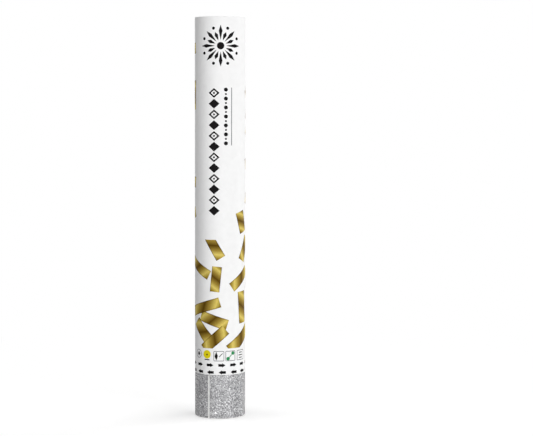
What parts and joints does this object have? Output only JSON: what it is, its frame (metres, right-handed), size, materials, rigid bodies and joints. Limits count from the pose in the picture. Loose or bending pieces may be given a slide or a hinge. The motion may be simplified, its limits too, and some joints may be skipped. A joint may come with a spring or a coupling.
{
  "type": "confetti popper",
  "caption": "Twist confetti popper: a white paper-wrapped card barrel on a silver glitter grip that turns, opening an air valve that throws gold foil strips.",
  "frame": {"origin": "centre of the foot, on the surface the popper stands on", "axes": "+Z along the barrel towards the muzzle; the print's front faces -Y, so +X is to the right seen from the front"},
  "size_m": [0.0506, 0.0506, 0.4],
  "materials": {
    "wound_card": "matte",
    "coated_paper": "satin",
    "glitter_paper": "satin",
    "white_plastic": "satin",
    "black_plastic": "satin",
    "bottle_plastic": "gloss",
    "valve_plastic": "satin",
    "seal_rubber": "matte",
    "pin_steel": "satin",
    "moulded_pulp": "matte",
    "chipboard": "matte",
    "facing_paper": "matte",
    "gold_foil": "polished"
  },
  "bodies": {
    "barrel": {"barrel_tube": "wound_card", "barrel_wrap": "coated_paper", "release_collar": "white_plastic", "retaining_ring": "white_plastic"},
    "grip": {"grip_tube": "wound_card", "grip_wrap": "glitter_paper", "slip_ring": "white_plastic", "base_cap": "black_plastic", "bottle_sleeve": "wound_card", "air_bottle": "bottle_plastic", "fill_bung": "seal_rubber", "head_gasket": "seal_rubber", "valve_head": "white_plastic"},
    "plug": {"valve_plug": "valve_plastic", "plug_o_ring": "seal_rubber", "cam_pin": "pin_steel"},
    "charge": {"pusher_wad": "moulded_pulp", "wad_disc": "chipboard", "confetti_tier_1": "gold_foil", "confetti_tier_2": "gold_foil", "confetti_tier_3": "gold_foil", "confetti_tier_4": "gold_foil"},
    "muzzle": {"muzzle_disc": "chipboard", "muzzle_facing": "facing_paper"}
  },
  "joints": [
    {"name": "grip_twist", "type": "hinge", "parent": "barrel", "child": "grip", "pos_m": [0, 0, 0.0439], "axis": [0, 0, -1], "range_deg": [0, 120]},
    {"name": "plug_lift", "type": "slide", "parent": "grip", "child": "plug", "axis": [0, 0, 1], "range_m": [0, 0.0052]},
    {"name": "charge_launch", "type": "slide", "parent": "barrel", "child": "charge", "axis": [0, 0, 1], "range_m": [0, 0.26]},
    {"name": "muzzle_pop", "type": "slide", "parent": "barrel", "child": "muzzle", "axis": [0, 0, 1], "range_m": [0, 0.33]}
  ],
  "couplings": [
    {"joint": "plug_lift", "follows": "grip_twist", "m_per_rad": 0.002387},
    {"joint": "muzzle_pop", "follows": "charge_launch", "ratio": 1.25}
  ]
}
